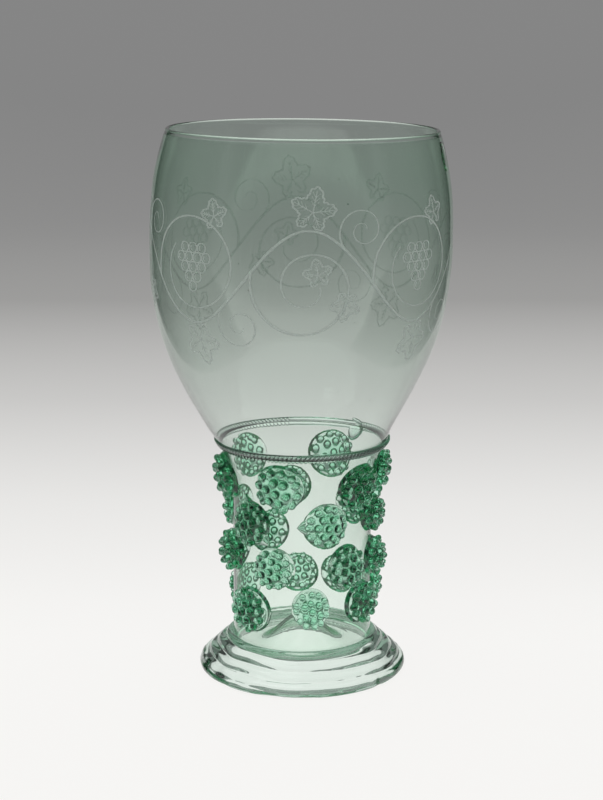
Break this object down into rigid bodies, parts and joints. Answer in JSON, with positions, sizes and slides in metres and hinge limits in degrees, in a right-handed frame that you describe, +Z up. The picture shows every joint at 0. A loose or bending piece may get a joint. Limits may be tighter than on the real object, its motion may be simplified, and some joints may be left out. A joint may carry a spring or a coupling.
{
  "type": "roemer glass",
  "caption": "Green roemer drinking glass: an egg-shaped bowl over a hollow stem set with raspberry prunts, with a milled collar at the weld and a low spun foot.",
  "frame": {"origin": "on the table, below the glass's axis", "axes": "+Z up along the glass's axis, -Y towards the pictured front, +X to the viewer's right"},
  "size_m": [0.1312, 0.1312, 0.24],
  "materials": {
    "blown_glass": "gloss",
    "worked_glass": "gloss"
  },
  "bodies": {
    "root": {"bowl": "blown_glass", "stem": "blown_glass", "milled_collar": "worked_glass", "spun_foot": "worked_glass", "prunt_top_1": "worked_glass", "prunt_top_2": "worked_glass", "prunt_top_3": "worked_glass", "prunt_top_4": "worked_glass", "prunt_top_5": "worked_glass", "prunt_top_6": "worked_glass", "prunt_upper_1": "worked_glass", "prunt_upper_2": "worked_glass", "prunt_upper_3": "worked_glass", "prunt_upper_4": "worked_glass", "prunt_upper_5": "worked_glass", "prunt_upper_6": "worked_glass", "prunt_lower_1": "worked_glass", "prunt_lower_2": "worked_glass", "prunt_lower_3": "worked_glass", "prunt_lower_4": "worked_glass", "prunt_lower_5": "worked_glass", "prunt_lower_6": "worked_glass", "prunt_lower_7": "worked_glass", "prunt_bottom_1": "worked_glass", "prunt_bottom_2": "worked_glass", "prunt_bottom_3": "worked_glass", "prunt_bottom_4": "worked_glass", "prunt_bottom_5": "worked_glass", "prunt_bottom_6": "worked_glass", "prunt_bottom_7": "worked_glass"}
  },
  "joints": []
}
